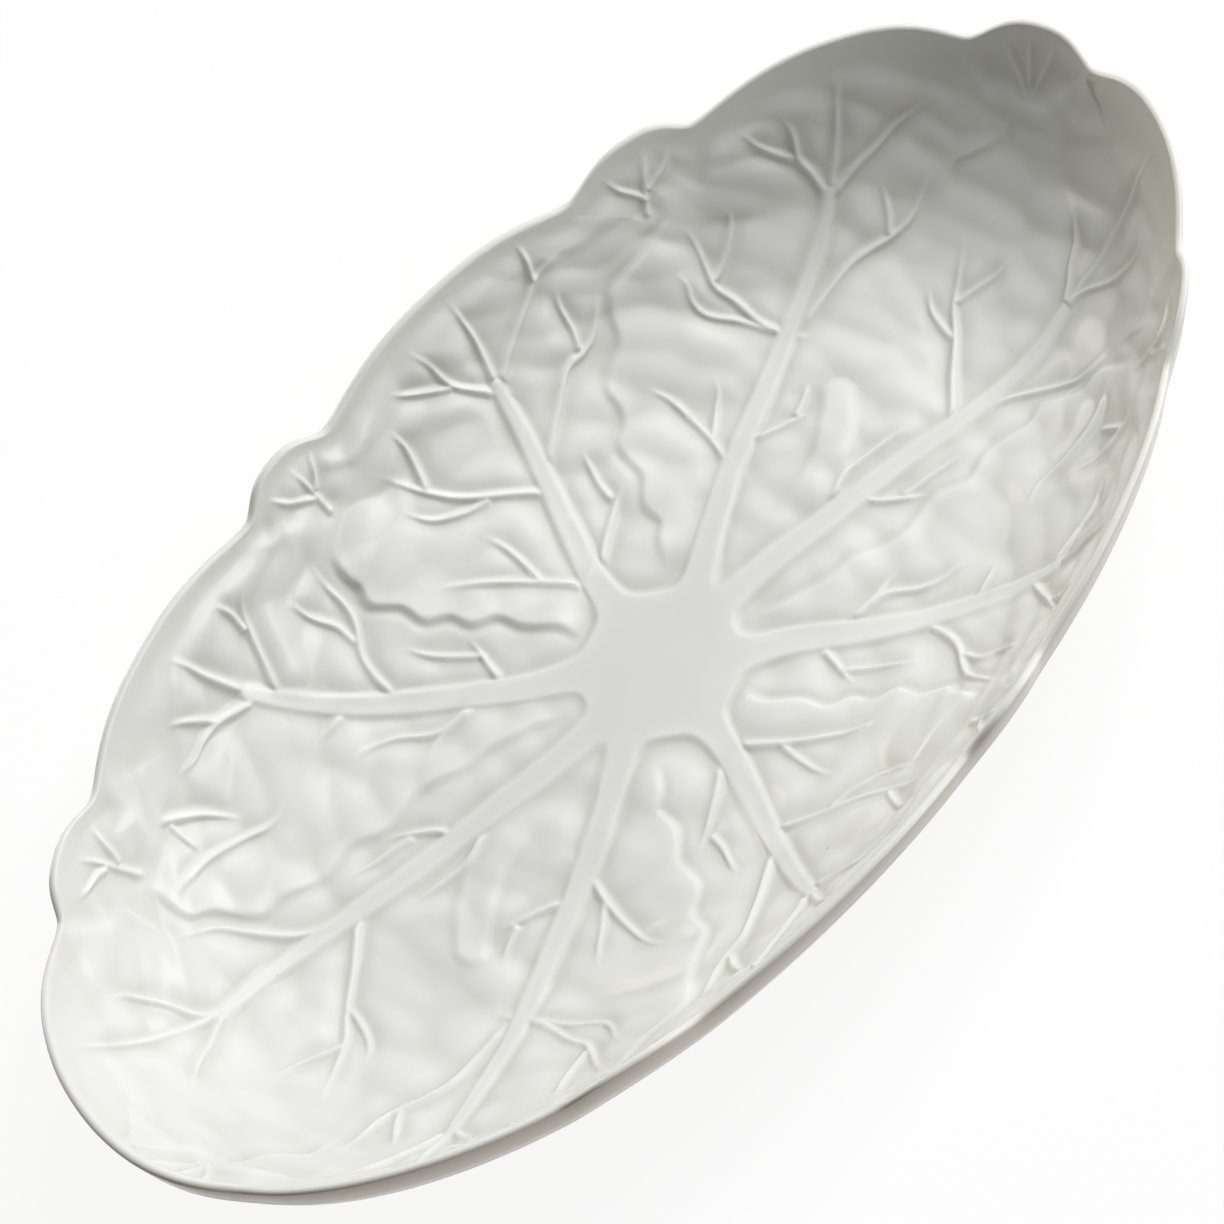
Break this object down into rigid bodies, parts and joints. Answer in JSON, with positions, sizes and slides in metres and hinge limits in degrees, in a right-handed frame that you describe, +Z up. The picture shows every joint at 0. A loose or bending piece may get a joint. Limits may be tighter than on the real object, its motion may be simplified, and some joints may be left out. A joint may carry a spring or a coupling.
{
  "type": "serving platter",
  "caption": "Deep oval serving platter of white glazed ceramic, moulded as overlapping ribbed leaves with a lobed rim, standing on an oval foot ring.",
  "frame": {"origin": "on the plane that the foot ring stands on, under the middle of the oval", "axes": "+X along the oval's long axis, +Y across it, +Z up out of the dish"},
  "size_m": [0.398, 0.2086, 0.0773],
  "materials": {
    "white_glaze": "gloss white glaze, faintly grey-green where it pools",
    "bare_clay": "bare fired clay, matte"
  },
  "bodies": {
    "root": {"platter_body": "white_glaze", "foot_ring": "bare_clay"}
  },
  "joints": []
}
